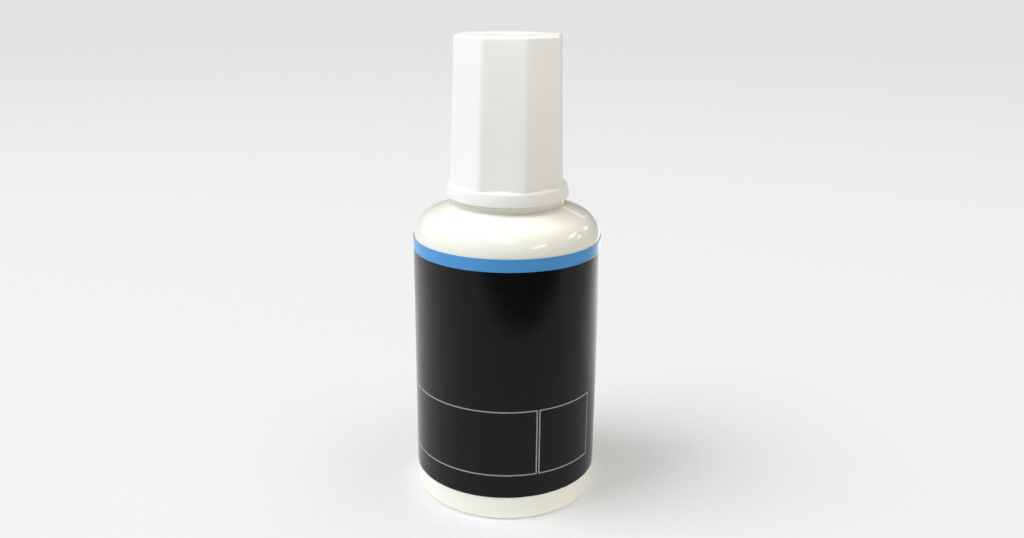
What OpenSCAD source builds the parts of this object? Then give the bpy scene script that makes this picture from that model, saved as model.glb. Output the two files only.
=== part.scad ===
// Correction fluid bottle with a brush in its screw cap.
// Z runs up the bottle's axis from the surface it stands on, and the front faces -Y.

/* [Bottle] */
// Outside diameter of the body
body_d = 28.8; // [27:0.1:34]
// Height of the straight side, from the foot to where the shoulder starts
side_h = 42.1; // [36:0.1:56]
// Thickness of the wall
wall = 1; // [0.7:0.05:1.3]
// Rounding of the foot's outer edge
foot_r = 1; // [0.6:0.1:2.4]
// Inside diameter of the ring that the bottle stands on
stand_d = 23; // [16:0.5:24]
// Rise of the hollow under the foot
push_up = 1.2; // [0.6:0.1:2]
// Radius of the shoulder's round
shoulder_r = 4; // [3:0.1:6]
// Slope of the shoulder above that round, from level
shoulder_slope = 22; // [14:1:30]
// Diameter of the collar at the foot of the neck
collar_d = 17.4; // [15:0.1:18.5]
// Height of the collar above the shoulder
collar_h = 0.95; // [0.6:0.05:2]
// Radius of the hollow round between the shoulder and the collar
collar_fillet_r = 0.5; // [0.3:0.1:1.6]
// Diameter of the neck between its threads
neck_d = 11.5; // [11:0.1:12]
// Height of the neck above the collar
neck_h = 10; // [8.5:0.1:12]
// Bore of the neck
bore_d = 8.4; // [7.8:0.1:9]
// Radius of the bead round the neck's root
neck_bead_r = 0.5; // [0.3:0.05:0.7]
// Height of that bead above the collar
neck_bead_z = 1.2; // [0.8:0.1:2]

/* [Label] */
// Bare strip of bottle below the label
label_foot = 4; // [3:0.1:8]
// Bare strip of straight side above the label
label_head = 0.1; // [0.05:0.05:4]
// Thickness of the label film
label_t = 0.1; // [0.06:0.01:0.2]
// Height of the coloured band along the label's top edge
band_h = 1.9; // [1:0.1:5]
// Gap between the label's two ends, at the back
label_seam = 0.5; // [0.2:0.1:3]

/* [Contents] */
// Drop of the fluid's surface below the top of the straight side
headspace = 3.9; // [3:0.1:12]
// Diameter of the mixing ball
ball_d = 5; // [3.5:0.1:6]
// Room between the mixing ball and the bottle's side
ball_side_gap = 0.8; // [0.6:0.1:2]

/* [Neck wiper] */
// Diameter of the wiper's lip on the neck's rim
wiper_lip_d = 10.4; // [9.6:0.1:11]
// Thickness of that lip
wiper_lip_t = 0.6; // [0.4:0.05:1]
// Length of the wiper inside the neck
wiper_h = 6; // [4:0.1:8]
// Wall of the wiper
wiper_wall = 0.7; // [0.5:0.05:1]
// Height of the cone that narrows to the wiping hole
wiper_cone_h = 1.6; // [1:0.1:2.4]
// Room between the stem and the edge of the wiping hole
wiper_gap = 0.35; // [0.2:0.05:0.6]

/* [Seal washer] */
// Diameter of the washer
washer_d = 10.4; // [9.6:0.1:11]
// Thickness of the washer
washer_t = 0.8; // [0.5:0.1:1.2]

/* [Brush] */
// Diameter of the stem under its flange
stem_top_d = 4; // [3.6:0.1:4.4]
// Diameter of the stem at its lower end
stem_end_d = 3.4; // [3.2:0.1:3.8]
// Diameter of the stem's flange
stem_flange_d = 10.6; // [9.6:0.1:11]
// Thickness of the stem's flange
stem_flange_t = 1; // [0.7:0.1:1.5]
// Diameter of the plug that holds the stem in the cap
plug_d = 5.4; // [4.6:0.1:6]
// Length of the plug
plug_h = 6; // [4.5:0.1:7]
// Radius of the plug's snap bead
snap_r = 0.3; // [0.2:0.05:0.4]
// Drop of the snap bead below the plug's end
snap_drop = 1.8; // [1:0.1:2.5]
// Free length of the bristles
tuft_free_h = 9.5; // [7:0.1:13]
// Height of the bristles' tip above the bottle's floor
tuft_floor_gap = 2.6; // [1.5:0.1:6]
// Width of the tuft where it leaves the stem
tuft_d = 2.6; // [2.4:0.05:2.7]
// Width of the tuft at its tip
tuft_tip_d = 3.2; // [2.7:0.05:3.6]
// Bristles from the tuft's middle to its edge
tuft_rings = 10; // [10:1:11]
// Share of its place that one bristle takes up
bristle_fill = 0.68; // [0.5:0.02:0.74]
// How much shorter the outermost bristles are
tuft_crown = 1.1; // [0.4:0.1:2]
// Thickness of the slice that the bristles are fused to
tuft_root_t = 0.6; // [0.4:0.1:1]
// Height of the metal anchor above the tuft
anchor_h = 1.6; // [1:0.1:2]
// Width of the anchor, which bites into the stem on both sides of the tuft's hole
anchor_w = 3; // [2.9:0.05:3.1]
// Thickness of the anchor
anchor_t = 0.3; // [0.2:0.05:0.5]

/* [Cap] */
// Height of the cap
cap_h = 24; // [22:0.1:30]
// Width across the flats at the top
cap_top_w = 15.5; // [15:0.1:16.5]
// Width across the flats at the foot ring
cap_foot_w = 16.8; // [16:0.1:17.2]
// Rounding of the edges between the facets
cap_edge_r = 1; // [0.7:0.05:1.4]
// Rounding of the edge round the top
cap_top_r = 0.4; // [0.2:0.05:0.6]
// Turn of the facets from facing the front squarely
cap_turned = 5; // [0:1:22]
// Diameter of the ring round the cap's foot
ring_d = 19; // [18.6:0.1:21]
// Height of that ring
ring_h = 2.15; // [1.6:0.05:3]
// Rounding of the ring's lower edge
ring_edge_r = 0.35; // [0.2:0.05:0.45]
// Rounding of the ring's upper edge
ring_top_r = 0.5; // [0.2:0.05:0.8]
// Gap between the ring and the bottle's collar with the cap on
ring_gap = 0.15; // [0.1:0.05:0.8]
// Thickness of the cap's top
cap_top_t = 1.4; // [1:0.1:2]
// Radial room between the neck and the cap for their threads
thread_room = 0.9; // [0.8:0.05:1]
// Bevel that leads the neck into the cap
mouth_bevel = 0.5; // [0.2:0.1:0.8]
// Wall of the socket that holds the stem
socket_wall = 1.1; // [0.8:0.1:1.3]
// Thickness of the ribs between the socket and the cap's side
rib_t = 0.9; // [0.6:0.1:1.4]
// Number of those ribs
rib_count = 4; // [3:1:8]

/* [Clearances] */
// Film of adhesive under the label, and of air round the fluid
film = 0.03; // [0.02:0.01:0.06]
// Radial room of a piece pushed into a round hole
push_fit = 0.04; // [0.03:0.01:0.08]
// Radial room of the tuft's root in the stem
tuft_fit = 0.08; // [0.06:0.01:0.1]
// Room round a loose or dipping piece in the fluid
dip_gap = 0.3; // [0.2:0.05:0.5]
// Gap under the mixing ball
ball_floor_gap = 0.1; // [0.05:0.05:0.2]
// Gap above the stem's plug in its socket
plug_end_gap = 0.3; // [0.2:0.1:0.8]

/* [Hidden] */
$fn = 96;
// Sides of the cap, and of the round edges between them
facets = 8;
hull_fn = 32;
// How far fused shapes reach into one another, and a length beyond every piece
weld = 0.4;
far = 100;
// Sharpest corner inside the bottle's foot
least_corner_r = 0.2;
// How far the collar's hollow round cuts into the two faces that it joins
fillet_bite = 0.02;

// Bottle: the shoulder's round, and the cone above it up to the collar
round_x = body_d / 2 - shoulder_r;
function round_end_x(inset) = round_x + (shoulder_r - inset) * sin(shoulder_slope);
function round_end_z(inset) = side_h + (shoulder_r - inset) * cos(shoulder_slope);
function cone_z(inset, x) = round_end_z(inset) + (round_end_x(inset) - x) * tan(shoulder_slope);
collar_z = cone_z(0, collar_d / 2);
collar_top = collar_z + collar_h;
// Part of the hollow round's radius that climbs the collar
fillet_climb = 1 / cos(shoulder_slope) - tan(shoulder_slope);
fillet_r = min(collar_fillet_r, collar_h / fillet_climb);
fillet_centre = [collar_d / 2 + fillet_r, collar_z + fillet_climb * fillet_r];
rim_z = collar_top + neck_h;

// Bottle: the sphere that hollows the foot, and the floor above it
dome_r = (pow(stand_d / 2, 2) + pow(push_up, 2)) / (2 * push_up);
dome_z = push_up - dome_r;
floor_z = push_up + wall;

// Contents
fluid_z = side_h - headspace;
ball_x = body_d / 2 - wall - ball_side_gap - ball_d / 2;
ball_from_dome = dome_r + wall + ball_d / 2 + ball_floor_gap;
ball_z = dome_z + sqrt(pow(ball_from_dome, 2) - pow(ball_x, 2));

// Stack on the neck's rim: wiper lip, washer, stem flange, then the cap's ribs
washer_z = rim_z + wiper_lip_t;
flange_z = washer_z + washer_t;
seat_z = flange_z + stem_flange_t;

// Brush
tip_z = floor_z + tuft_floor_gap;
stem_end_z = tip_z + tuft_free_h;
tuft_hole_d = tuft_d + 2 * tuft_fit;
tuft_root_z = stem_end_z + push_fit;
anchor_z = tuft_root_z + tuft_root_t + push_fit;
tuft_hole_h = anchor_z + anchor_h + push_fit - stem_end_z;
snap_z = seat_z + plug_h - snap_drop;
brush_d = max(stem_top_d, tuft_tip_d);

// Cap
cap_z = collar_top + ring_gap;
cap_top = cap_z + cap_h;
ring_top = cap_z + ring_h;
thread_d = neck_d + 2 * thread_room;
ceiling_z = cap_top - cap_top_t;
socket_d = plug_d + 2 * push_fit;
socket_h = plug_h + plug_end_gap;

// Half section of the bottle's body with its shoulder, inset from the outside, up to radius x
module body_section(inset, x) {
    r = body_d / 2 - inset;
    corner_r = max(foot_r - inset, least_corner_r);
    top_z = cone_z(inset, x);
    translate([0, inset])
        square([r - corner_r, side_h - inset]);
    translate([0, inset + corner_r])
        square([r, side_h - inset - corner_r]);
    translate([r - corner_r, inset + corner_r])
        circle(corner_r);
    polygon([
        [0, side_h],
        [round_x, side_h],
        [round_end_x(inset), round_end_z(inset)],
        [x, top_z],
        [0, top_z],
    ]);
    intersection() {
        translate([round_x, side_h])
            circle(shoulder_r - inset);
        polygon([
            [round_x, side_h],
            [round_x + far, side_h],
            [round_x + far, side_h + far / tan(shoulder_slope)],
            [round_end_x(inset), round_end_z(inset)],
        ]);
    }
}

// Disc under the foot's hollow, or under the floor above it
module dome_section(inset) {
    translate([0, dome_z])
        circle(dome_r + inset);
}

// Half section of the space inside the bottle's body, drawn in by a gap
module inside_section(gap) {
    difference() {
        body_section(wall + gap, bore_d / 2);
        dome_section(wall + gap);
    }
}

// Corner between the shoulder and the collar, filled up to the middle of the hollow round
module collar_fillet_section() {
    polygon([
        [collar_d / 2 - weld, collar_z - weld],
        fillet_centre - (fillet_r + weld) * [sin(shoulder_slope), cos(shoulder_slope)],
        fillet_centre,
        [collar_d / 2 - weld, fillet_centre.y],
    ]);
}

// Blow-moulded bottle with a collar and a neck for the cap
module bottle() {
    color("ivory")
    rotate_extrude()
    difference() {
        union() {
            body_section(0, collar_d / 2);
            collar_fillet_section();
            translate([0, collar_z])
                square([collar_d / 2, collar_h]);
            translate([0, collar_z])
                square([neck_d / 2, rim_z - collar_z]);
            translate([neck_d / 2, collar_top + neck_bead_z])
                circle(neck_bead_r);
        }
        translate(fillet_centre)
            circle(fillet_r + fillet_bite);
        dome_section(0);
        inside_section(0);
        translate([0, side_h])
            square([bore_d / 2, rim_z]);
    }
}

// Stretch of the label film between two heights, with the gap at the back
module label_film(z, h) {
    film_r = body_d / 2 + film;
    difference() {
        translate([0, 0, z])
        rotate_extrude()
        translate([film_r, 0])
            square([label_t, h]);
        translate([-label_seam / 2, 0, z - h])
            cube([label_seam, body_d, 3 * h]);
    }
}

// Wrap-round label: dark film with a coloured band along its top edge
module label() {
    label_h = side_h - label_foot - label_head;
    color("#1f2123")
        label_film(label_foot, label_h - band_h);
    color("#4a8ad0")
        label_film(label_foot + label_h - band_h, band_h);
}

// Fluid, with the room that the brush and the mixing ball take up in it
module correction_fluid() {
    channel_z = tip_z - dip_gap;
    color("white")
    difference() {
        rotate_extrude()
        intersection() {
            inside_section(film);
            square([body_d, fluid_z]);
        }
        translate([0, 0, channel_z])
            cylinder(h = fluid_z, d = brush_d + 2 * dip_gap);
        translate([ball_x, 0, ball_z])
            sphere(d = ball_d + 2 * dip_gap);
    }
}

// Steel ball that stirs the fluid when the bottle is shaken
module mixing_ball() {
    color("silver")
    translate([ball_x, 0, ball_z])
        sphere(d = ball_d);
}

// Insert in the neck: a lip on the rim, a sleeve, and a cone down to the wiping hole
module neck_wiper() {
    sleeve_r = bore_d / 2 - push_fit;
    inner_r = sleeve_r - wiper_wall;
    hole_r = stem_top_d / 2 + wiper_gap;
    low_z = rim_z - wiper_h;
    color("whitesmoke")
    rotate_extrude()
    polygon([
        [hole_r, low_z],
        [inner_r, low_z],
        [sleeve_r, low_z + wiper_cone_h],
        [sleeve_r, rim_z],
        [wiper_lip_d / 2, rim_z],
        [wiper_lip_d / 2, washer_z],
        [inner_r, washer_z],
        [inner_r, low_z + wiper_cone_h + wiper_wall],
        [hole_r, low_z + wiper_wall],
    ]);
}

// Foam washer that the stem's flange presses onto the neck
module seal_washer() {
    hole_r = stem_top_d / 2 + push_fit;
    color("gainsboro")
    translate([0, 0, washer_z])
    rotate_extrude()
    translate([hole_r, 0])
        square([washer_d / 2 - hole_r, washer_t]);
}

// Moulded stem: plug with a snap bead, sealing flange, tapered rod and a hole for the tuft
module brush_stem() {
    color("white")
    difference() {
        rotate_extrude()
        union() {
            polygon([
                [0, stem_end_z],
                [stem_end_d / 2, stem_end_z],
                [stem_top_d / 2, washer_z],
                [stem_top_d / 2, flange_z],
                [stem_flange_d / 2, flange_z],
                [stem_flange_d / 2, seat_z],
                [plug_d / 2, seat_z],
                [plug_d / 2, seat_z + plug_h],
                [0, seat_z + plug_h],
            ]);
            translate([plug_d / 2, snap_z])
                circle(snap_r);
        }
        translate([0, 0, stem_end_z - tuft_hole_h])
            cylinder(h = 2 * tuft_hole_h, d = tuft_hole_d);
        anchor_plate(push_fit / 2);
    }
}

// Plate that pins the tuft, grown all round by a gap
module anchor_plate(gap) {
    size = [anchor_w + 2 * gap, anchor_t + 2 * gap, anchor_h + 2 * gap];
    translate([0, 0, anchor_z + anchor_h / 2])
        cube(size, center = true);
}

module bristle_anchor() {
    color("goldenrod")
        anchor_plate(0);
}

// Bristles stand on a square grid inside the tuft's circle, each in a cell of its own
cell = tuft_d / (2 * tuft_rings + 1);
cells = [
    for (i = [-tuft_rings : tuft_rings])
    for (j = [-tuft_rings : tuft_rings])
    if (i * i + j * j <= tuft_rings * tuft_rings)
    [i, j]
];
corners = [[-1, -1], [1, -1], [1, 1], [-1, 1]];
sides = [[0, -1], [1, 0], [0, 1], [-1, 0]];
function in_tuft(c) = c * c <= tuft_rings * tuft_rings;
function square_at(c, step, width, z) = [
    for (k = corners)
    [c.x * step + k.x * width / 2, c.y * step + k.y * width / 2, z]
];

// One cell's points: slice top, slice underside, bristle root, bristle tip
function cell_points(c) =
    let (
        spread = cell * tuft_tip_d / tuft_d,
        rise = tuft_crown * (c * c) / (tuft_rings * tuft_rings)
    )
    concat(
        square_at(c, cell, cell, tuft_root_z + tuft_root_t),
        square_at(c, cell, cell, tuft_root_z),
        square_at(c, cell, cell * bristle_fill, tuft_root_z),
        square_at(c, spread, cell * bristle_fill, tip_z + rise)
    );

// Two triangles across a band between rings a and b, on side k
function band_faces(a, b, k) =
    let (n = (k + 1) % 4)
    [[a + k, b + n, a + n], [a + k, b + k, b + n]];

function cell_faces(c, at) = concat(
    [[at, at + 2, at + 1], [at, at + 3, at + 2]],
    [for (k = [0 : 3]) if (!in_tuft(c + sides[k])) each band_faces(at + 4, at, k)],
    [for (k = [0 : 3]) each band_faces(at + 8, at + 4, k)],
    [for (k = [0 : 3]) each band_faces(at + 12, at + 8, k)],
    [[at + 12, at + 13, at + 14], [at + 12, at + 14, at + 15]]
);

// Tuft of tapering bristles that spread towards a crowned tip
module bristles() {
    color("oldlace")
    polyhedron(
        points = [for (c = cells) each cell_points(c)],
        faces = [for (n = [0 : len(cells) - 1]) each cell_faces(cells[n], 16 * n)]
    );
}

// Round button with a rounded upper edge, which forms one corner of the cap's top
module cap_corner() {
    flat_r = cap_edge_r - cap_top_r;
    rotate_extrude($fn = hull_fn)
    union() {
        square([flat_r, cap_top_r]);
        intersection() {
            translate([flat_r, 0])
                circle(cap_top_r);
            square([cap_edge_r, cap_top_r]);
        }
    }
}

// Eight-sided body of the cap, tapering upwards, with rounded edges
module cap_body() {
    taper = (cap_foot_w - cap_top_w) / 2 / (cap_top - ring_top);
    low_z = ring_top - ring_h / 2;
    low_w = cap_foot_w / 2 + taper * (ring_top - low_z);
    hull()
    for (i = [0 : facets - 1])
    rotate(corner_angle(i)) {
        translate([(cap_top_w / 2 - cap_edge_r) / cos(180 / facets), 0, cap_top - cap_top_r])
            cap_corner();
        translate([(low_w - cap_edge_r) / cos(180 / facets), 0, low_z])
            cylinder(h = weld, r = cap_edge_r, $fn = hull_fn);
    }
}

// Direction of one corner, half a facet from the one that faces the front
function corner_angle(i) = -90 - cap_turned + (i + 0.5) * 360 / facets;

// Half section of the ring round the cap's foot
module ring_section() {
    r = ring_d / 2;
    translate([0, cap_z])
        square([r - max(ring_edge_r, ring_top_r), ring_h]);
    translate([0, cap_z + ring_edge_r])
        square([r, ring_h - ring_edge_r - ring_top_r]);
    translate([r - ring_edge_r, cap_z + ring_edge_r])
        circle(ring_edge_r);
    translate([r - ring_top_r, ring_top - ring_top_r])
        circle(ring_top_r);
}

// Socket for the stem's plug, hung from the cap's top and stayed by ribs
module socket() {
    post_r = socket_d / 2 + socket_wall;
    difference() {
        union() {
            translate([0, 0, seat_z])
                cylinder(h = ceiling_z - seat_z + weld, r = post_r);
            for (i = [0 : rib_count - 1])
            rotate(i * 360 / rib_count)
            translate([0, -rib_t / 2, seat_z])
                cube([thread_d / 2 + weld, rib_t, ceiling_z - seat_z + weld]);
        }
        rotate_extrude()
        union() {
            translate([0, seat_z - socket_wall])
                square([socket_d / 2, socket_h + socket_wall]);
            translate([socket_d / 2, snap_z])
                circle(snap_r + push_fit);
        }
    }
}

// Screw cap: eight-sided body on a round ring, hollow below, with the stem's socket inside
module cap() {
    color("white")
    union() {
        difference() {
            union() {
                cap_body();
                rotate_extrude()
                    ring_section();
            }
            translate([0, 0, cap_z - mouth_bevel])
                cylinder(h = ceiling_z - cap_z + mouth_bevel, d = thread_d);
            translate([0, 0, cap_z - mouth_bevel])
                cylinder(
                    h = 2 * mouth_bevel,
                    d1 = thread_d + 4 * mouth_bevel,
                    d2 = thread_d
                );
        }
        socket();
    }
}

bottle();
label();
correction_fluid();
mixing_ball();
neck_wiper();
seal_washer();
brush_stem();
bristles();
bristle_anchor();
cap();
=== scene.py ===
import math
import random

import bmesh
import bpy
from mathutils import Matrix, Vector


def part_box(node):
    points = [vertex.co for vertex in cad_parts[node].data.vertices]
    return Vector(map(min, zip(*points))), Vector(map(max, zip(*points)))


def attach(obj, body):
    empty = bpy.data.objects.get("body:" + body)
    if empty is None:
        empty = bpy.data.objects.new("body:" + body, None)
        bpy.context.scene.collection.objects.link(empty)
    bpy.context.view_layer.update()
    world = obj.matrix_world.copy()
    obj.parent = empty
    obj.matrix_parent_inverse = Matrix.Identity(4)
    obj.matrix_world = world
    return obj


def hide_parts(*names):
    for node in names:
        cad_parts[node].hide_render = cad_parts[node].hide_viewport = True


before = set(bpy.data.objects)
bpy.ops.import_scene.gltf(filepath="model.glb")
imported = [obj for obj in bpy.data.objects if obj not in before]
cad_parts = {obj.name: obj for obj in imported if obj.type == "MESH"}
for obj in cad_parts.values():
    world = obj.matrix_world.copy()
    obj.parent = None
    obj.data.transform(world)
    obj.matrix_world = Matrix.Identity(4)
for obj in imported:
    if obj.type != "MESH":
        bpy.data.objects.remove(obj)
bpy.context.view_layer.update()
scene = bpy.context.scene
mm = 0.001
print("frame loaded:", sorted(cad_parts))


# Camera, fitted to the edges of the bottle, the label and the cap in the photograph
photoCamera = {
    "position": (0.0, -142.07, 80.2),  # mm
    "pitch": 17.21,  # degrees down
    "yaw": 0.33,
    "roll": 0.56,
    "lens": 33.17,
    "sensor": 36.0,
    "clip": (10, 50000),  # mm
}


def addCamera(spec):
    pitch, yaw, roll = (math.radians(spec[key]) for key in ("pitch", "yaw", "roll"))
    level = math.cos(pitch)
    forward = Vector((math.sin(yaw) * level, math.cos(yaw) * level, -math.sin(pitch)))
    side = Vector((math.cos(yaw), -math.sin(yaw), 0))
    up = side.cross(forward)
    acrossFrame = side * math.cos(roll) + up * math.sin(roll)
    upFrame = up * math.cos(roll) - side * math.sin(roll)
    turned = Matrix((acrossFrame, upFrame, -forward)).transposed().to_4x4()
    data = bpy.data.cameras.new("photoCamera")
    data.sensor_fit = "HORIZONTAL"
    data.sensor_width = spec["sensor"]
    data.lens = spec["lens"]
    data.clip_start, data.clip_end = (limit * mm for limit in spec["clip"])
    camera = bpy.data.objects.new("photoCamera", data)
    camera.matrix_world = Matrix.Translation(Vector(spec["position"]) * mm) @ turned
    scene.collection.objects.link(camera)
    scene.camera = camera


addCamera(photoCamera)
print("camera placed")


# Shader helpers: an underscore in a keyword stands for the space in a socket's name
def setSockets(node, **sockets):
    for name, value in sockets.items():
        node.inputs[name.replace("_", " ")].default_value = value
    return node


def addNode(tree, kind, **sockets):
    return setSockets(tree.nodes.new(kind), **sockets)


def addMath(tree, operation, first, second):
    node = tree.nodes.new("ShaderNodeMath")
    node.operation = operation
    for socket, value in zip(node.inputs, (first, second)):
        if isinstance(value, (int, float)):
            socket.default_value = value
        else:
            tree.links.new(value, socket)
    return node.outputs[0]


def addRamp(tree, factor, *stops):
    node = tree.nodes.new("ShaderNodeValToRGB")
    elements = node.color_ramp.elements
    while len(elements) < len(stops):
        elements.new(0.5)
    for element, (place, colour) in zip(elements, stops):
        element.position = place
        element.color = (*colour, 1)
    tree.links.new(factor, node.inputs["Fac"])
    return node.outputs["Color"]


def addRange(tree, value, fromLow, fromHigh, toLow, toHigh):
    node = addNode(tree, "ShaderNodeMapRange", From_Min=fromLow, From_Max=fromHigh)
    setSockets(node, To_Min=toLow, To_Max=toHigh)
    tree.links.new(value, node.inputs["Value"])
    return node.outputs["Result"]


def addNoise(tree, where, scale, detail=3.0, roughness=0.5):
    node = addNode(tree, "ShaderNodeTexNoise", Detail=detail, Roughness=roughness)
    tree.links.new(where, node.inputs["Vector"])
    if isinstance(scale, (int, float)):
        node.inputs["Scale"].default_value = scale
    else:
        tree.links.new(scale, node.inputs["Scale"])
    return node.outputs["Fac"]


def addMix(tree, factor, first, second):
    node = tree.nodes.new("ShaderNodeMix")
    node.data_type = "RGBA"
    tree.links.new(factor, node.inputs["Factor"])
    tree.links.new(first, node.inputs["A"])
    node.inputs["B"].default_value = (*second, 1)
    return node.outputs["Result"]


def startGroup(name, inputs, outputs):
    group = bpy.data.node_groups.new(name, "ShaderNodeTree")
    group.interface.new_socket("Vector", in_out="INPUT", socket_type="NodeSocketVector")
    for socket, value in inputs:
        made = group.interface.new_socket(socket, in_out="INPUT", socket_type="NodeSocketFloat")
        made.default_value = value
    for socket in outputs:
        group.interface.new_socket(socket, in_out="OUTPUT", socket_type="NodeSocketFloat")
    return group, group.nodes.new("NodeGroupInput"), group.nodes.new("NodeGroupOutput")


# Moulded skin: fine grain, slow waves of the mould, and gloss that drifts between two values
def makeMouldedSkin():
    inputs = [
        ("Grain Scale", 5000.0),
        ("Wave Scale", 120.0),
        ("Grain Share", 0.1),
        ("Gloss Low", 0.2),
        ("Gloss High", 0.3),
    ]
    group, given, put = startGroup("mouldedSkin", inputs, ["Height", "Roughness", "Tone"])
    where = given.outputs["Vector"]
    grain = addNoise(group, where, given.outputs["Grain Scale"], 2.0)
    wave = addNoise(group, where, given.outputs["Wave Scale"], 1.0)
    fine = addMath(group, "MULTIPLY", grain, given.outputs["Grain Share"])
    group.links.new(addMath(group, "ADD", fine, wave), put.inputs["Height"])
    spread = addRange(group, grain, 0.3, 0.7, 0.0, 1.0)
    mixed = addMath(group, "MULTIPLY", addMath(group, "ADD", spread, wave), 0.5)
    gloss = addNode(group, "ShaderNodeMapRange")
    group.links.new(mixed, gloss.inputs["Value"])
    group.links.new(given.outputs["Gloss Low"], gloss.inputs["To Min"])
    group.links.new(given.outputs["Gloss High"], gloss.inputs["To Max"])
    group.links.new(gloss.outputs["Result"], put.inputs["Roughness"])
    group.links.new(wave, put.inputs["Tone"])
    return group


# Handling marks: short scuffs that lie mostly across the piece, and faint smudges
def makeHandlingMarks():
    inputs = [("Scuff Scale", 220.0), ("Scuff Cut", 0.72), ("Smudge Scale", 90.0)]
    group, given, put = startGroup("handlingMarks", inputs, ["Scuff", "Smudge"])
    where = given.outputs["Vector"]
    stretch = addNode(group, "ShaderNodeMapping", Scale=(1.0, 1.0, 9.0), Rotation=(0.25, 0.1, 0.0))
    group.links.new(where, stretch.inputs["Vector"])
    streak = addNoise(group, stretch.outputs["Vector"], given.outputs["Scuff Scale"], 4.0, 0.6)
    over = addMath(group, "SUBTRACT", streak, given.outputs["Scuff Cut"])
    group.links.new(addRange(group, over, 0.0, 0.06, 0.0, 1.0), put.inputs["Scuff"])
    smudge = addNoise(group, where, given.outputs["Smudge Scale"], 5.0, 0.65)
    group.links.new(addRange(group, smudge, 0.42, 0.72, 0.0, 1.0), put.inputs["Smudge"])
    return group


mouldedSkin = makeMouldedSkin()
handlingMarks = makeHandlingMarks()


def startMaterial(name):
    material = bpy.data.materials.new(name)
    material.use_nodes = True
    tree = material.node_tree
    shader = tree.nodes["Principled BSDF"]
    where = tree.nodes.new("ShaderNodeTexCoord").outputs["Object"]
    return material, tree, shader, where


def placeGroup(tree, group, where, **sockets):
    node = tree.nodes.new("ShaderNodeGroup")
    node.node_tree = group
    tree.links.new(where, node.inputs["Vector"])
    return setSockets(node, **sockets)


def placeSkin(tree, where, spec):
    low, high = spec["gloss"]
    skin = placeGroup(tree, mouldedSkin, where, Gloss_Low=low, Gloss_High=high)
    setSockets(skin, Grain_Scale=spec["grainScale"], Grain_Share=spec["grainShare"])
    return setSockets(skin, Wave_Scale=spec["waveScale"])


def setBump(tree, shader, height, depth):
    bump = addNode(tree, "ShaderNodeBump", Strength=1.0, Distance=depth * mm)
    tree.links.new(height, bump.inputs["Height"])
    tree.links.new(bump.outputs["Normal"], shader.inputs["Normal"])


# One mask that gives a piece its two tones, its gloss and its relief
def setFinish(tree, shader, mask, spec):
    tone = addRamp(tree, mask, *zip(spec["toneStops"], spec["tones"]))
    tree.links.new(tone, shader.inputs["Base Color"])
    tree.links.new(addRange(tree, mask, *spec["glossStops"], *spec["gloss"]), shader.inputs["Roughness"])
    setBump(tree, shader, mask, spec["depth"])


# Moulded plastics: two near tones that drift, gloss that drifts, marks that dull it
plasticFinishes = {
    "bottleIvory": {
        "tones": ((0.885, 0.882, 0.79), (0.868, 0.862, 0.765)),
        "gloss": (0.07, 0.12),
        "grainScale": 5200,
        "grainShare": 0.02,
        "waveScale": 85,
        "waveDepth": 0.18,  # mm, as are the scatter depths
        "scuffCut": 0.74,
        "scatter": 0.04,
        "scatterDepth": 1.5,
        "scatterTint": (1.0, 0.85, 0.6),
        "refraction": 1.5,
    },
    "capWhite": {
        "tones": ((0.90, 0.894, 0.858), (0.885, 0.877, 0.839)),
        "gloss": (0.34, 0.46),
        "grainScale": 6500,
        "grainShare": 0.10,
        "waveScale": 160,
        "waveDepth": 0.04,
        "scuffCut": 0.76,
        "scatter": 0.15,
        "scatterDepth": 1.2,
        "scatterTint": (1.0, 0.9, 0.7),
        "refraction": 1.49,
    },
    "stemWhite": {
        "tones": ((0.91, 0.91, 0.90), (0.87, 0.87, 0.85)),
        "gloss": (0.22, 0.34),
        "grainScale": 7000,
        "grainShare": 0.08,
        "waveScale": 300,
        "waveDepth": 0.03,
        "scuffCut": 0.75,
        "scatter": 0.1,
        "scatterDepth": 1.0,
        "scatterTint": (1.0, 0.2, 0.1),
        "refraction": 1.49,
    },
    "wiperNatural": {
        "tones": ((0.88, 0.88, 0.85), (0.82, 0.82, 0.79)),
        "gloss": (0.30, 0.45),
        "grainScale": 8000,
        "grainShare": 0.08,
        "waveScale": 400,
        "waveDepth": 0.03,
        "scuffCut": 0.75,
        "scatter": 0.2,
        "scatterDepth": 1.0,
        "scatterTint": (1.0, 0.2, 0.1),
        "refraction": 1.5,
    },
}
plasticToneStops = (0.35, 0.75)
scuffDulling = 0.12
smudgeDulling = 0.05


def makePlastic(name):
    spec = plasticFinishes[name]
    material, tree, shader, where = startMaterial(name)
    skin = placeSkin(tree, where, spec)
    marks = placeGroup(tree, handlingMarks, where, Scuff_Cut=spec["scuffCut"])
    tone = addRamp(tree, skin.outputs["Tone"], *zip(plasticToneStops, spec["tones"]))
    tree.links.new(tone, shader.inputs["Base Color"])
    dull = addMath(tree, "MULTIPLY", marks.outputs["Scuff"], scuffDulling)
    greasy = addMath(tree, "MULTIPLY", marks.outputs["Smudge"], smudgeDulling)
    rough = addMath(tree, "ADD", addMath(tree, "ADD", skin.outputs["Roughness"], dull), greasy)
    tree.links.new(rough, shader.inputs["Roughness"])
    setBump(tree, shader, skin.outputs["Height"], spec["waveDepth"])
    setSockets(shader, Subsurface_Weight=spec["scatter"], Subsurface_Scale=spec["scatterDepth"] * mm)
    setSockets(shader, Subsurface_Radius=spec["scatterTint"], IOR=spec["refraction"])
    return material


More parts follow.
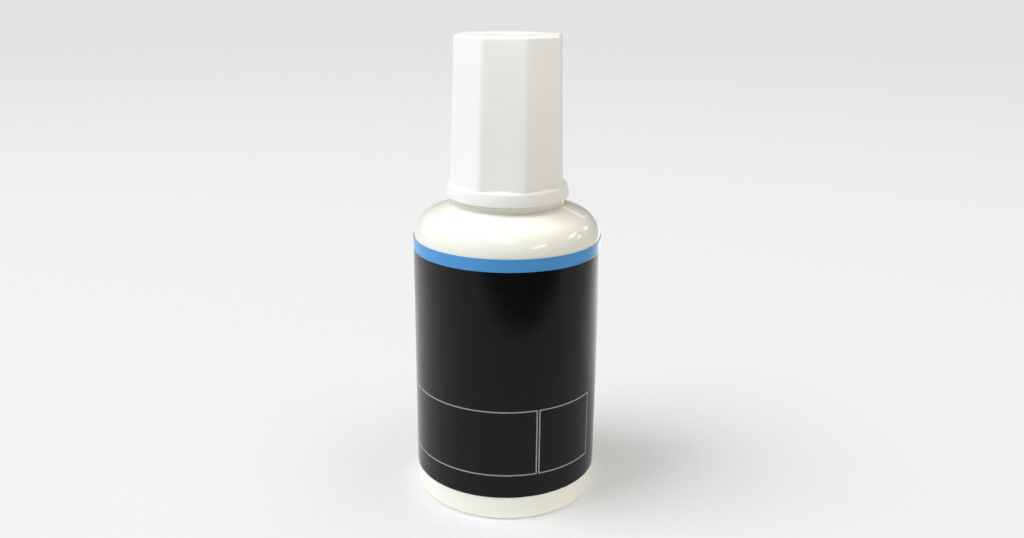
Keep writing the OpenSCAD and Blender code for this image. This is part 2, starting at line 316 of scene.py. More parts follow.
# Printed film: one ink or another under the same satin varnish
filmInks = {
    # ink, the same ink rubbed, gloss from and to, shine
    "labelBlack": ((0.0034, 0.0038, 0.0041), (0.0068, 0.0072, 0.0075), (0.11, 0.16), 0.18),
    "bandBlue": ((0.076, 0.30, 0.65), (0.086, 0.315, 0.665), (0.11, 0.16), 0.18),
    "ruleInk": ((0.33, 0.34, 0.34), (0.27, 0.28, 0.28), (0.12, 0.18), 0.18),
    "filmCore": ((0.55, 0.55, 0.54), (0.45, 0.45, 0.44), (0.40, 0.50), 0.4),
}
filmVarnish = {
    "grainScale": 9000.0,
    "grainShare": 0.06,
    "waveScale": 140.0,
    "waveDepth": 0.06,  # mm
    "speckScale": 7000,
    "speckStops": (0.40, 0.72),
    "rubbing": 0.5,
    "smudgeDulling": 0.07,
}


def makeFilm(name):
    ink, rubbed, gloss, shine = filmInks[name]
    spec = {**filmVarnish, "gloss": gloss}
    material, tree, shader, where = startMaterial(name)
    skin = placeSkin(tree, where, spec)
    marks = placeGroup(tree, handlingMarks, where, Scuff_Scale=420.0, Scuff_Cut=0.70, Smudge_Scale=130.0)
    speck = addNoise(tree, where, spec["speckScale"], 2.0)
    printed = addRamp(tree, speck, *zip(spec["speckStops"], (ink, rubbed)))
    rub = addMath(tree, "MULTIPLY", marks.outputs["Scuff"], spec["rubbing"])
    tree.links.new(addMix(tree, rub, printed, rubbed), shader.inputs["Base Color"])
    dull = addMath(tree, "MULTIPLY", marks.outputs["Smudge"], spec["smudgeDulling"])
    tree.links.new(addMath(tree, "ADD", skin.outputs["Roughness"], dull), shader.inputs["Roughness"])
    setBump(tree, shader, skin.outputs["Height"], spec["waveDepth"])
    setSockets(shader, Specular_IOR_Level=shine)
    return material


# Foam of the washer: the sunk middles of its cells are painted darker, a painted shade in the pores
foamFinish = {
    "cellScale": 5200.0,
    "tones": ((0.78, 0.77, 0.74), (0.90, 0.90, 0.88)),
    "toneStops": (0.05, 0.55),
    "gloss": (0.85, 0.6),
    "glossStops": (0.0, 0.6),
    "depth": 0.08,  # mm
}


def makeWasherFoam(spec):
    material, tree, shader, where = startMaterial("washerFoam")
    cells = addNode(tree, "ShaderNodeTexVoronoi", Scale=spec["cellScale"])
    tree.links.new(where, cells.inputs["Vector"])
    setFinish(tree, shader, cells.outputs["Distance"], spec)
    return material


# Nylon that is clear near the stem and carries wet fluid towards its tip
nylonFinish = {
    "dryTone": (0.80, 0.74, 0.60),
    "wetTone": (0.93, 0.93, 0.92),
    "gloss": (0.42, 0.18),  # dry and wet
    "edgeScale": 2200,
    "edgeReach": 1.2,  # mm that the wet edge strays up and down
    "grainScale": 9000,
    "grainDepth": 0.01,
}


def makeBristleNylon(spec, wetFrom, wetTo):
    material, tree, shader, where = startMaterial("bristleNylon")
    height = tree.nodes.new("ShaderNodeSeparateXYZ")
    tree.links.new(where, height.inputs["Vector"])
    reach = spec["edgeReach"] * mm
    ragged = addRange(tree, addNoise(tree, where, spec["edgeScale"], 2.0), 0.3, 0.7, -reach, reach)
    level = addMath(tree, "ADD", height.outputs["Z"], ragged)
    wet = addRange(tree, level, wetFrom * mm, wetTo * mm, 0.0, 1.0)
    tone = addRamp(tree, wet, (0.0, spec["dryTone"]), (1.0, spec["wetTone"]))
    tree.links.new(tone, shader.inputs["Base Color"])
    tree.links.new(addRange(tree, wet, 0.0, 1.0, *spec["gloss"]), shader.inputs["Roughness"])
    setBump(tree, shader, addNoise(tree, where, spec["grainScale"], 2.0), spec["grainDepth"])
    return material


# Metals and the fluid: one noise drives tone, gloss and relief
noiseFinishes = {
    "ballSteel": {
        "tones": ((0.60, 0.60, 0.61), (0.50, 0.50, 0.51)),
        "gloss": (0.12, 0.24),
        "noise": (2600, 4.0, 0.6),  # scale, detail, roughness
        "depth": 0.006,  # mm
        "metallic": 1.0,
    },
    "anchorBrass": {
        "tones": ((0.80, 0.60, 0.28), (0.66, 0.48, 0.20)),
        "gloss": (0.22, 0.38),
        "noise": (3200, 4.0, 0.6),
        "depth": 0.006,
        "metallic": 1.0,
    },
    "fluidWhite": {
        "tones": ((0.93, 0.93, 0.92), (0.89, 0.89, 0.87)),
        "gloss": (0.06, 0.14),
        "noise": (260, 3.0, 0.5),
        "depth": 0.03,
        "metallic": 0.0,
    },
}
noiseStops = (0.3, 0.7)


def makeNoiseFinish(name):
    spec = {**noiseFinishes[name], "toneStops": noiseStops, "glossStops": noiseStops}
    material, tree, shader, where = startMaterial(name)
    setFinish(tree, shader, addNoise(tree, where, *spec["noise"]), spec)
    setSockets(shader, Metallic=spec["metallic"])
    return material


bottleIvory = makePlastic("bottleIvory")
capWhite = makePlastic("capWhite")
stemWhite = makePlastic("stemWhite")
wiperNatural = makePlastic("wiperNatural")
labelBlack = makeFilm("labelBlack")
bandBlue = makeFilm("bandBlue")
ruleInk = makeFilm("ruleInk")
filmCore = makeFilm("filmCore")
washerFoam = makeWasherFoam(foamFinish)
ballSteel = makeNoiseFinish("ballSteel")
anchorBrass = makeNoiseFinish("anchorBrass")
fluidWhite = makeNoiseFinish("fluidWhite")
print("materials made:", len(bpy.data.materials))


# Mesh helpers
mergeReach = 0.0005  # mm


def drawOutline(bm, corners, arcSteps, closed=False):
    # corners are (radius, height, round) in mm, and each round is bevelled into an arc
    points = [Vector((radius, 0, height)) * mm for radius, height, _ in corners]
    verts = [bmesh.ops.create_vert(bm, co=point)["vert"][0] for point in points]
    ends = list(zip(verts, verts[1:] + verts[:1]))
    for pair in ends if closed else ends[:-1]:
        bm.edges.new(pair)
    for i, (vert, corner) in enumerate(zip(verts, corners)):
        if corner[2]:
            before = points[i] - points[i - 1]
            after = points[(i + 1) % len(points)] - points[i]
            reach = corner[2] * mm * math.tan(before.angle(after) / 2)
            bmesh.ops.bevel(
                bm,
                geom=[vert],
                offset=reach,
                offset_type="OFFSET",
                segments=arcSteps,
                profile=0.5,
                affect="VERTICES",
                material=-1,
            )


def revolve(bm, steps):
    bmesh.ops.spin(
        bm,
        geom=bm.verts[:] + bm.edges[:],
        cent=(0, 0, 0),
        axis=(0, 0, 1),
        angle=math.tau,
        steps=steps,
        use_merge=True,
    )
    bmesh.ops.remove_doubles(bm, verts=bm.verts, dist=mergeReach * mm)
    bmesh.ops.recalc_face_normals(bm, faces=bm.faces)


def makePiece(name, bm, materials, body, replaced=(), sharpDegrees=32):
    mesh = bpy.data.meshes.new(name)
    bm.to_mesh(mesh)
    bm.free()
    for material in materials:
        mesh.materials.append(material)
    mesh.shade_smooth()
    mesh.set_sharp_from_angle(angle=math.radians(sharpDegrees))
    piece = bpy.data.objects.new(name, mesh)
    scene.collection.objects.link(piece)
    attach(piece, body)
    if replaced:
        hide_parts(*replaced)
    print("piece made:", name, len(mesh.polygons), "faces")


# Screw thread shared by the neck and the cap, right-handed
threadSizes = {
    "pitch": 2.12,
    "turns": 1.5,
    "start": 52.8,  # height of the neck ridge's lower end
    "baseWidth": 0.96,
    "crestWidth": 0.40,
    "sunk": 0.06,  # how far its root lies in the wall
    "depth": 0.70,
    "fadeTurns": 0.16,
    "leastFade": 0.12,
    "stepsPerTurn": 60,
}


def drawThread(bm, spec, wallRadius, outward, drop):
    # a ridge grown step by step round the axis, fading into the wall at both ends
    root = wallRadius - outward * spec["sunk"]
    crest = wallRadius + outward * spec["depth"]
    middle = (root + crest) / 2
    section = [
        (root, -spec["baseWidth"] / 2),
        (middle, -(spec["baseWidth"] + spec["crestWidth"]) / 4),
        (crest, -spec["crestWidth"] / 2),
        (crest, spec["crestWidth"] / 2),
        (middle, (spec["baseWidth"] + spec["crestWidth"]) / 4),
        (root, spec["baseWidth"] / 2),
    ]
    steps = int(spec["turns"] * spec["stepsPerTurn"])
    verts = [bmesh.ops.create_vert(bm, co=(0, 0, 0))["vert"][0] for _ in section]
    face = bm.faces.new(verts)
    for step in range(steps + 1):
        turned = step / spec["stepsPerTurn"]
        nearEnd = min(turned, spec["turns"] - turned) / spec["fadeTurns"]
        fade = max(spec["leastFade"], math.sin(min(1.0, nearEnd) * math.pi / 2))
        if step:
            grown = bmesh.ops.extrude_face_region(bm, geom=[face])["geom"]
            if step > 1:
                bm.faces.remove(face)
            face = next(item for item in grown if isinstance(item, bmesh.types.BMFace))
        for vert, (radius, height) in zip(face.verts, section):
            out = root + (radius - root) * fade
            vert.co = Vector((out, 0, spec["start"] - drop + height * fade + turned * spec["pitch"])) * mm
            vert.co.rotate(Matrix.Rotation(turned * math.tau, 3, "Z"))
    bmesh.ops.recalc_face_normals(bm, faces=bm.faces)


# Bottle: blow-moulded, one closed skin from the hollow foot over the rim to the floor inside
bottleSizes = {
    "standRadius": 11.5,
    "standRound": 0.4,
    "pushUp": 1.2,
    "pushUpBend": (0.5, 0.75),  # shares of the stand's radius and of the rise
    "footRound": 1.0,
    "innerCorner": 0.2,
    "floorFall": (0.6, 0.9),  # shares of the rise that the floor loses at its corner and over the stand
    "sideTop": 42.1,
    "shoulderRound": 4.0,
    "shoulderSlope": 22.0,  # degrees from level
    "collarRadius": 8.7,
    "collarHeight": 0.95,
    "collarFillet": 0.2,
    "collarRound": 0.08,
    "neckRadius": 5.75,
    "neckRootRound": 0.3,
    "beadRise": 0.5,
    "beadHeight": 1.2,  # above the collar
    "beadRound": 0.3,
    "beadFootRound": 0.1,
    "boreRadius": 4.2,
    "rimRound": 0.3,
    "throatRound": 0.5,
    "wall": 1.0,
    "partingRise": 0.025,
    "partingSteepness": 0.3,  # level faces carry no parting line
    "arcSteps": 10,
    "steps": 180,
}


def makeBottle(spec):
    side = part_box("bottle")[1].x / mm
    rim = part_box("bottle")[1].z / mm
    wall, stand, pushUp = spec["wall"], spec["standRadius"], spec["pushUp"]
    slope = math.tan(math.radians(spec["shoulderSlope"]))
    lift = spec["shoulderRound"] * math.tan(math.radians(90 - spec["shoulderSlope"]) / 2)
    brow = spec["sideTop"] + lift  # where the side and the shoulder's cone would meet
    collar = spec["collarRadius"]
    collarFoot = brow + (side - collar) * slope
    collarTop = collarFoot + spec["collarHeight"]
    neck, bore = spec["neckRadius"], spec["boreRadius"]
    bead = collarTop + spec["beadHeight"]
    rise = spec["beadRise"]
    inner = side - wall
    floor = pushUp + wall
    cornerFall, standFall = (pushUp * share for share in spec["floorFall"])
    innerBrow = brow - wall / math.cos(math.radians(spec["shoulderSlope"])) + wall * slope
    corners = [
        (0, pushUp, 0),
        (stand * spec["pushUpBend"][0], pushUp * spec["pushUpBend"][1], 0),
        (stand, 0, spec["standRound"]),
        (side, 0, spec["footRound"]),
        (side, brow, spec["shoulderRound"]),
        (collar, collarFoot, spec["collarFillet"]),
        (collar, collarTop, spec["collarRound"]),
        (neck, collarTop, spec["neckRootRound"]),
        (neck, bead - rise, spec["beadFootRound"]),
        (neck + rise, bead, spec["beadRound"]),
        (neck, bead + rise, spec["beadFootRound"]),
        (neck, rim, spec["rimRound"]),
        (bore, rim, spec["rimRound"]),
        (bore, innerBrow + (inner - bore) * slope, spec["throatRound"]),
        (inner, innerBrow, spec["shoulderRound"] - wall),
        (inner, floor - cornerFall, spec["innerCorner"]),
        (stand, floor - standFall, 0),
        (0, floor, 0),
    ]
    bm = bmesh.new()
    drawOutline(bm, corners, spec["arcSteps"])
    revolve(bm, spec["steps"])
    bm.normal_update()
    # the two mould halves meet along the sides
    for vert in bm.verts:
        onLine = abs(vert.co.y) < 2 * mergeReach * mm
        outside = vert.co.xy.length > (bore + wall / 2) * mm and vert.normal.xy.dot(vert.co.xy) > 0
        if onLine and outside and vert.normal.xy.length > spec["partingSteepness"]:
            vert.co += vert.normal * spec["partingRise"] * mm
    makePiece("bottleShell", bm, [bottleIvory], "bottle", ["bottle"])
    ridge = bmesh.new()
    drawThread(ridge, threadSizes, neck, 1, 0)
    makePiece("neckThread", ridge, [bottleIvory], "bottle")


makeBottle(bottleSizes)


# Label: printed film cut to size while flat, then wrapped round the bottle with its gap at the back
labelSizes = {
    "thickness": 0.1,
    "gapAtBack": 0.5,
    "bandHeight": 1.9,
    "ruleWidth": 0.2,
    "ruledBoxes": [(-98.0, 19.0), (20.7, 61.4)],  # degrees either side of the front
    "ruledHeights": (7.8, 18.3),
    "columns": 120,
}


def inRule(spec, perDegree, across, height):
    low, high = spec["ruledHeights"]
    half = spec["ruleWidth"] / 2
    for left, right in spec["ruledBoxes"]:
        left, right = left * perDegree, right * perDegree
        inside = left - half < across < right + half and low - half < height < high + half
        clear = left + half < across < right - half and low + half < height < high - half
        if inside and not clear:
            return True
    return False


def makeLabel(spec):
    low, high = (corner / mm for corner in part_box("label"))
    outer = min(high.x, high.y, -low.x, -low.y)
    halfLength = math.pi * outer - spec["gapAtBack"] / 2
    perDegree = math.radians(outer)
    bandFoot = high.z - spec["bandHeight"]
    bm = bmesh.new()
    bmesh.ops.create_grid(bm, x_segments=1, y_segments=1, size=1)
    for vert in bm.verts:
        vert.co = Vector((vert.co.x * halfLength, 0, low.z if vert.co.y < 0 else high.z))
    uprights = [-halfLength + 2 * halfLength * i / spec["columns"] for i in range(1, spec["columns"])]
    half = spec["ruleWidth"] / 2
    for box in spec["ruledBoxes"]:
        for edge in box:
            uprights += [edge * perDegree - half, edge * perDegree + half]
    levels = [bandFoot]
    for edge in spec["ruledHeights"]:
        levels += [edge - half, edge + half]
    for normal, places in (((1, 0, 0), uprights), ((0, 0, 1), levels)):
        for place in places:
            bmesh.ops.bisect_plane(
                bm,
                geom=bm.verts[:] + bm.edges[:] + bm.faces[:],
                dist=0.0001,
                plane_co=Vector(normal) * place,
                plane_no=normal,
            )
    films = [labelBlack, bandBlue, ruleInk, filmCore]
    for face in bm.faces:
        centre = face.calc_center_median()
        if centre.z > bandFoot:
            face.material_index = films.index(bandBlue)
        elif inRule(spec, perDegree, centre.x, centre.z):
            face.material_index = films.index(ruleInk)
    for vert in bm.verts:
        angle = vert.co.x / outer
        vert.co = Vector((math.sin(angle) * outer, -math.cos(angle) * outer, vert.co.z)) * mm
    bmesh.ops.recalc_face_normals(bm, faces=bm.faces)
    if bm.faces[0].normal.dot(bm.faces[0].calc_center_median()) < 0:
        bmesh.ops.reverse_faces(bm, faces=bm.faces)
    printed = set(bm.faces)
    bmesh.ops.solidify(bm, geom=bm.faces[:], thickness=spec["thickness"] * mm)
    for face in bm.faces:
        centre = face.calc_center_median()
        if face not in printed and face.normal.dot(centre) < 0.5 * centre.length:
            face.material_index = films.index(filmCore)
    makePiece("labelWrap", bm, films, "bottle", ["label"])


makeLabel(labelSizes)


# Cap: loops lofted from the mouth, round the ring, up the eight facets, over the top and down the inside
capSizes = {
    "facets": 8,
    "turned": 5.0,  # degrees from facing the front squarely
    "footWidth": 16.8,  # across the flats
    "topWidth": 15.5,
    "edgeRound": 1.0,
    "edgeSteps": 5,
    "flatShares": (0.04, 0.25, 0.5, 0.75, 0.96),  # points along each flat
    "heightShares": (0.25, 0.5, 0.75),  # loops up the facets
    "topRound": 0.4,
    "topRoundSteps": 6,
    "topInset": 0.3,
    "ringHeight": 2.15,
    "ringRound": 0.35,
    "ringRoundSteps": 5,
    "ringTopRound": 0.5,
    "ringTopSteps": 6,
    "ringLean": 0.32,  # how much narrower the ring is at its top
    "footFillet": 0.3,
    "filletSteps": 4,
    "boreRadius": 6.65,
    "mouthBevel": 0.5,
    "topThickness": 1.4,
    "gateRadius": 0.9,
    "gateSlope": 0.25,
    "gateDepth": 0.12,
    "hubRadius": 0.2,  # of the small faces that close the gate mark and the socket
    "socketRadius": 2.74,
    "socketWall": 1.1,
    "socketDepth": 6.3,
    "plugHeight": 6.0,  # the stem's plug stands on the socket's foot
    "ribs": 4,
    "ribThickness": 0.9,
    "ribSunk": 0.3,  # how far the ribs reach into what they join
}


def facetLoop(spec, apothem, inset, height):
    # one loop of the eight-sided section, with its corners rounded, drawn in by an inset
    turn = math.tau / spec["facets"]
    rounding = spec["edgeRound"] - inset
    arcCentre = (apothem - spec["edgeRound"]) / math.cos(turn / 2)
    loop = []
    for facet in range(spec["facets"]):
        corner = -math.pi / 2 - math.radians(spec["turned"]) + (facet + 0.5) * turn
        centre = Vector((math.cos(corner), math.sin(corner), 0)) * arcCentre
        for step in range(spec["edgeSteps"] + 1):
            angle = corner - turn / 2 + turn * step / spec["edgeSteps"]
            loop.append(centre + Vector((math.cos(angle), math.sin(angle), 0)) * rounding)
        nextCorner = corner + turn
        nextCentre = Vector((math.cos(nextCorner), math.sin(nextCorner), 0)) * arcCentre
        middle = corner + turn / 2
        start = loop[-1]
        end = nextCentre + Vector((math.cos(middle), math.sin(middle), 0)) * rounding
        loop += [start.lerp(end, share) for share in spec["flatShares"]]
    return [(point + Vector((0, 0, height))) * mm for point in loop]


def roundLoop(spec, radius, height):
    flats = len(spec["flatShares"])
    count = spec["facets"] * (spec["edgeSteps"] + 1 + flats)
    first = -math.pi / 2 - math.radians(spec["turned"])
    loop = []
    for i in range(count):
        angle = first + math.tau * (i + 0.5 * flats + 0.5) / count
        loop.append(Vector((math.cos(angle) * radius, math.sin(angle) * radius, height)) * mm)
    return loop


def arcPlaces(steps):
    return [math.radians(90 * step / steps) for step in range(steps + 1)]


def loftLoops(bm, start, path):
    # grows from the loop of vertices at the start through each loop of the path, and closes the last
    verts = start
    for loop in path:
        rim = [bm.edges.get(pair) for pair in zip(verts, verts[1:] + verts[:1])]
        grown = bmesh.ops.extrude_edge_only(bm, edges=rim)["geom"]
        fresh = {item for item in grown if isinstance(item, bmesh.types.BMVert)}
        verts = [
            next(edge.other_vert(vert) for edge in vert.link_edges if edge.other_vert(vert) in fresh)
            for vert in verts
        ]
        for vert, place in zip(verts, loop):
            vert.co = place
    bmesh.ops.contextual_create(bm, geom=verts)


def makeCap(spec):
    low, high = (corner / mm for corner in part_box("cap"))
    foot, top, ring = low.z, high.z, high.x
    ringTop = foot + spec["ringHeight"]
    ceiling = top - spec["topThickness"]
    lowRound, highRound = spec["ringRound"], spec["ringTopRound"]
    fillet = spec["footFillet"]
    topRound = spec["topRound"]
    gateFloor = top - spec["gateDepth"]
    bore, socket, hub = spec["boreRadius"], spec["socketRadius"], spec["hubRadius"]
    post = socket + spec["socketWall"]
    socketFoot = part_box("brush_stem")[1].z / mm - spec["plugHeight"]
    socketTop = socketFoot + spec["socketDepth"]
    taper = (spec["footWidth"] - spec["topWidth"]) / 2 / (top - ringTop)

    def flatAt(height):
        return spec["footWidth"] / 2 - taper * (height - ringTop)

    loops = [roundLoop(spec, bore + spec["mouthBevel"], foot)]
    for turn in arcPlaces(spec["ringRoundSteps"]):
        out = ring - lowRound * (1 - math.sin(turn))
        loops.append(roundLoop(spec, out, foot + lowRound * (1 - math.cos(turn))))
    # the ring's upper round never cuts behind the facets' corners, nor their fillet past the ring
    for turn in arcPlaces(spec["ringTopSteps"]):
        out = ring - spec["ringLean"] - highRound * (1 - math.cos(turn))
        height = ringTop - highRound * (1 - math.sin(turn))
        rounded = zip(roundLoop(spec, out, height), facetLoop(spec, flatAt(ringTop), 0, height))
        loops.append([max(pair, key=lambda point: point.xy.length) for pair in rounded])
    edge = loops[-1]
    for turn in arcPlaces(spec["filletSteps"]):
        height = ringTop + fillet * (1 - math.cos(turn))
        spread = facetLoop(spec, flatAt(ringTop), -fillet * (1 - math.sin(turn)), height)
        pairs = [(point, Vector((*limit.xy, point.z))) for point, limit in zip(spread, edge)]
        loops.append([min(pair, key=lambda point: point.xy.length) for pair in pairs])
    for share in spec["heightShares"]:
        height = ringTop + fillet + (top - topRound - ringTop - fillet) * share
        loops.append(facetLoop(spec, flatAt(height), 0, height))
    for turn in arcPlaces(spec["topRoundSteps"]):
        height = top - topRound * (1 - math.sin(turn))
        loops.append(facetLoop(spec, flatAt(top - topRound), topRound * (1 - math.cos(turn)), height))
    loops.append(facetLoop(spec, flatAt(top), topRound + spec["topInset"], top))
    loops.append(roundLoop(spec, spec["gateRadius"] + spec["gateSlope"], top))
    loops.append(roundLoop(spec, spec["gateRadius"], gateFloor))
    loops.append(roundLoop(spec, hub, gateFloor))
    inside = [
        roundLoop(spec, bore, ceiling),
        roundLoop(spec, post, ceiling),
        roundLoop(spec, post, socketFoot),
        roundLoop(spec, socket, socketFoot),
        roundLoop(spec, socket, socketTop),
        roundLoop(spec, hub, socketTop),
    ]
    bm = bmesh.new()
    start = roundLoop(spec, bore, foot + spec["mouthBevel"])
    mouth = bmesh.ops.create_circle(bm, segments=len(start), radius=bore * mm)["verts"]
    for vert, place in zip(mouth, start):
        vert.co = place
    loftLoops(bm, mouth, loops)
    loftLoops(bm, mouth, inside)
    bmesh.ops.remove_doubles(bm, verts=bm.verts, dist=mergeReach * mm)
    bmesh.ops.recalc_face_normals(bm, faces=bm.faces)
    # ribs stay the socket against the side
    ribTop = ceiling + spec["ribSunk"]
    reach = bore - post + 2 * spec["ribSunk"]
    size = Matrix.Diagonal((reach, spec["ribThickness"], ribTop - socketFoot, 1))
    place = Matrix.Translation(((bore + post) / 2, 0, (ribTop + socketFoot) / 2))
    for i in range(spec["ribs"]):
        turned = Matrix.Rotation(math.tau * i / spec["ribs"], 4, "Z")
        bmesh.ops.create_cube(bm, size=1, matrix=Matrix.Scale(mm, 4) @ turned @ place @ size)
    makePiece("capShell", bm, [capWhite], "cap", ["cap"])
    ridge = bmesh.new()
    drawThread(ridge, threadSizes, bore, -1, threadSizes["pitch"] / 2)
    makePiece("capThread", ridge, [capWhite], "cap")


makeCap(capSizes)


# Brush stem: plug with its snap bead, sealing flange, tapered rod and the hole for the tuft
stemSizes = {
    "plugRadius": 2.7,
    "plugRound": 0.5,
    "plugFootRound": 0.15,
    "beadRise": 0.28,
    "beadDrop": 1.8,
    "beadRound": 0.15,
    "beadFootRound": 0.05,
    "flangeRadius": 5.3,
    "flangeThickness": 1.0,
    "flangeRound": 0.2,
    "washerThickness": 0.8,
    "rodRadius": 2.0,
    "tipRadius": 1.7,
    "tipRound": 0.2,
    "holeRadius": 1.38,
    "holeDepth": 2.3,
    "holeRound": 0.08,
    "arcSteps": 4,
    "steps": 72,
}


def makeStem(spec):
    low, high = (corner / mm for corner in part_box("brush_stem"))
    seat = high.z - capSizes["plugHeight"]
    bead = high.z - spec["beadDrop"]
    under = seat - spec["flangeThickness"]
    plug, rise = spec["plugRadius"], spec["beadRise"]
    corners = [
        (0, high.z, 0),
        (plug, high.z, spec["plugRound"]),
        (plug, bead + rise, spec["beadFootRound"]),
        (plug + rise, bead, spec["beadRound"]),
        (plug, bead - rise, spec["beadFootRound"]),
        (plug, seat, spec["plugFootRound"]),
        (spec["flangeRadius"], seat, spec["flangeRound"]),
        (spec["flangeRadius"], under, spec["flangeRound"]),
        (spec["rodRadius"], under, 0),
        (spec["rodRadius"], under - spec["washerThickness"], 0),
        (spec["tipRadius"], low.z, spec["tipRound"]),
        (spec["holeRadius"], low.z, spec["holeRound"]),
        (spec["holeRadius"], low.z + spec["holeDepth"], 0),
        (0, low.z + spec["holeDepth"], 0),
    ]
    bm = bmesh.new()
    drawOutline(bm, corners, spec["arcSteps"])
    revolve(bm, spec["steps"])
    makePiece("brushStem", bm, [stemWhite], "brush", ["brush_stem"])


makeStem(stemSizes)


# Tuft: bristles packed in a sunflower pattern, spreading a little to a crowned tip
tuftSizes = {
    "bristles": 440,
    "rootRadius": 1.24,
    "tipRadius": 1.55,
    "spreadPower": 1.5,
    "crown": 1.1,
    "tipStray": 0.25,
    "thickness": 0.105,
    "pointShare": 0.45,
    "pointPower": 3,
    "sides": 5,
    "bends": 4,
    "stray": 0.03,
    "backing": 0.6,
    "backingSpare": 0.05,
    "backingSides": 48,
    "wetDrops": (2.0, 5.0),  # below the root, where the wet part starts and is whole
    "sharpDegrees": 60,
    "seed": 7,
}


def makeStraightBristle(spec):
    # one bristle of unit length and radius, cut into short lengths so that it can bend
    bm = bmesh.new()
    bmesh.ops.create_cone(bm, cap_ends=True, segments=spec["sides"], radius1=1, radius2=1, depth=1)
    bmesh.ops.translate(bm, verts=bm.verts, vec=(0, 0, 0.5))
    for bend in range(1, spec["bends"]):
        bmesh.ops.bisect_plane(
            bm,
            geom=bm.verts[:] + bm.edges[:] + bm.faces[:],
            plane_co=(0, 0, bend / spec["bends"]),
            plane_no=(0, 0, 1),
        )
    mesh = bpy.data.meshes.new("straightBristle")
    bm.to_mesh(mesh)
    bm.free()
    return mesh


def makeTuft(spec):
    low, high = (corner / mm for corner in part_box("bristles"))
    root = high.z - spec["backing"]
    draw = random.Random(spec["seed"])
    goldenTurn = math.pi * (3 - math.sqrt(5))
    straight = makeStraightBristle(spec)
    widening = spec["tipRadius"] - spec["rootRadius"]
    bm = bmesh.new()
    for i in range(spec["bristles"]):
        share = math.sqrt((i + 0.5) / spec["bristles"])
        way = Vector((math.cos(i * goldenTurn), math.sin(i * goldenTurn), 0)) * share
        stray = Vector((draw.uniform(-1, 1), draw.uniform(-1, 1), 0)) * spec["stray"]
        tip = low.z + spec["crown"] * share * share + draw.uniform(0, spec["tipStray"])
        bm.from_mesh(straight)
        bm.verts.ensure_lookup_table()
        for vert in bm.verts[-len(straight.vertices):]:
            along = vert.co.z
            radius = spec["rootRadius"] + widening * along ** spec["spreadPower"]
            centre = way * radius + stray * along * along + Vector((0, 0, root + (tip - root) * along))
            thick = spec["thickness"] / 2 * (1 - (1 - spec["pointShare"]) * along ** spec["pointPower"])
            vert.co = (centre + Vector((vert.co.x, vert.co.y, 0)) * thick) * mm
    bmesh.ops.recalc_face_normals(bm, faces=bm.faces)
    backingRadius = (spec["rootRadius"] + spec["backingSpare"]) * mm
    backing = bmesh.ops.create_cone(
        bm,
        cap_ends=True,
        segments=spec["backingSides"],
        radius1=backingRadius,
        radius2=backingRadius,
        depth=spec["backing"] * mm,
    )["verts"]
    bmesh.ops.translate(bm, verts=backing, vec=(0, 0, (root + spec["backing"] / 2) * mm))
    wetFrom, wetTo = (root - drop for drop in spec["wetDrops"])
    bristleNylon = makeBristleNylon(nylonFinish, wetFrom, wetTo)
    makePiece(
        "bristleTuft", bm, [bristleNylon], "brush", ["bristles"], spec["sharpDegrees"]
    )


makeTuft(tuftSizes)


# Anchor: stamped plate that pins the folded tuft
anchorSizes = {"edgeRound": 0.04, "edgeSteps": 2}


def makeAnchor(spec):
    low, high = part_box("bristle_anchor")
    bm = bmesh.new()
    size = Matrix.Diagonal((*(high - low), 1))
    bmesh.ops.create_cube(bm, size=1, matrix=Matrix.Translation((low + high) / 2) @ size)
    bmesh.ops.bevel(
        bm,
        geom=bm.edges[:],
        offset=spec["edgeRound"] * mm,
        segments=spec["edgeSteps"],
        profile=0.5,
        affect="EDGES",
        material=-1,
    )
    makePiece("anchorPlate", bm, [anchorBrass], "brush", ["bristle_anchor"])


makeAnchor(anchorSizes)


# Wiper: lip on the rim, sleeve in the neck, cone down to the wiping hole
wiperSizes = {
    "sleeveRadius": 4.16,
    "wall": 0.7,
    "lip": 0.6,
    "lipRound": 0.2,
    "lipFootRound": 0.12,
    "holeRadius": 2.35,
    "holeRound": 0.1,
    "cone": 1.6,
    "coneRound": 0.2,
    "innerRound": 0.3,
    "arcSteps": 4,
    "steps": 96,
}


def makeWiper(spec):
    low, high = (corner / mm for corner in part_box("neck_wiper"))
    rim = high.z - spec["lip"]
    inner = spec["sleeveRadius"] - spec["wall"]
    coneTop = low.z + spec["cone"]
    corners = [
        (spec["holeRadius"], low.z, spec["holeRound"]),
        (inner, low.z, spec["coneRound"]),
        (spec["sleeveRadius"], coneTop, spec["coneRound"]),
        (spec["sleeveRadius"], rim, 0),
        (high.x, rim, spec["lipFootRound"]),
        (high.x, high.z, spec["lipRound"]),
        (inner, high.z, spec["innerRound"]),
        (inner, coneTop + spec["wall"], spec["innerRound"]),
        (spec["holeRadius"], low.z + spec["wall"], spec["holeRound"]),
    ]
    bm = bmesh.new()
    drawOutline(bm, corners, spec["arcSteps"], closed=True)
    revolve(bm, spec["steps"])
    makePiece("wiperInsert", bm, [wiperNatural], "bottle", ["neck_wiper"])


makeWiper(wiperSizes)


# Washer: punched foam, a little rounded where it is squeezed
washerSizes = {"holeRadius": 2.04, "holeRound": 0.05, "outerRound": 0.25, "arcSteps": 5, "steps": 96}


def makeWasher(spec):
    low, high = (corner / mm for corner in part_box("seal_washer"))
    corners = [
        (spec["holeRadius"], low.z, spec["holeRound"]),
        (high.x, low.z, spec["outerRound"]),
        (high.x, high.z, spec["outerRound"]),
        (spec["holeRadius"], high.z, spec["holeRound"]),
    ]
    bm = bmesh.new()
    drawOutline(bm, corners, spec["arcSteps"], closed=True)
    revolve(bm, spec["steps"])
    makePiece("foamWasher", bm, [washerFoam], "seal", ["seal_washer"])


makeWasher(washerSizes)


# The ball and the fluid keep their solids and take a finer finish
for node, material in (("mixing_ball", ballSteel), ("correction_fluid", fluidWhite)):
    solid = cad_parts[node]
    solid.data.materials.clear()
    solid.data.materials.append(material)
print("ball and fluid finished")


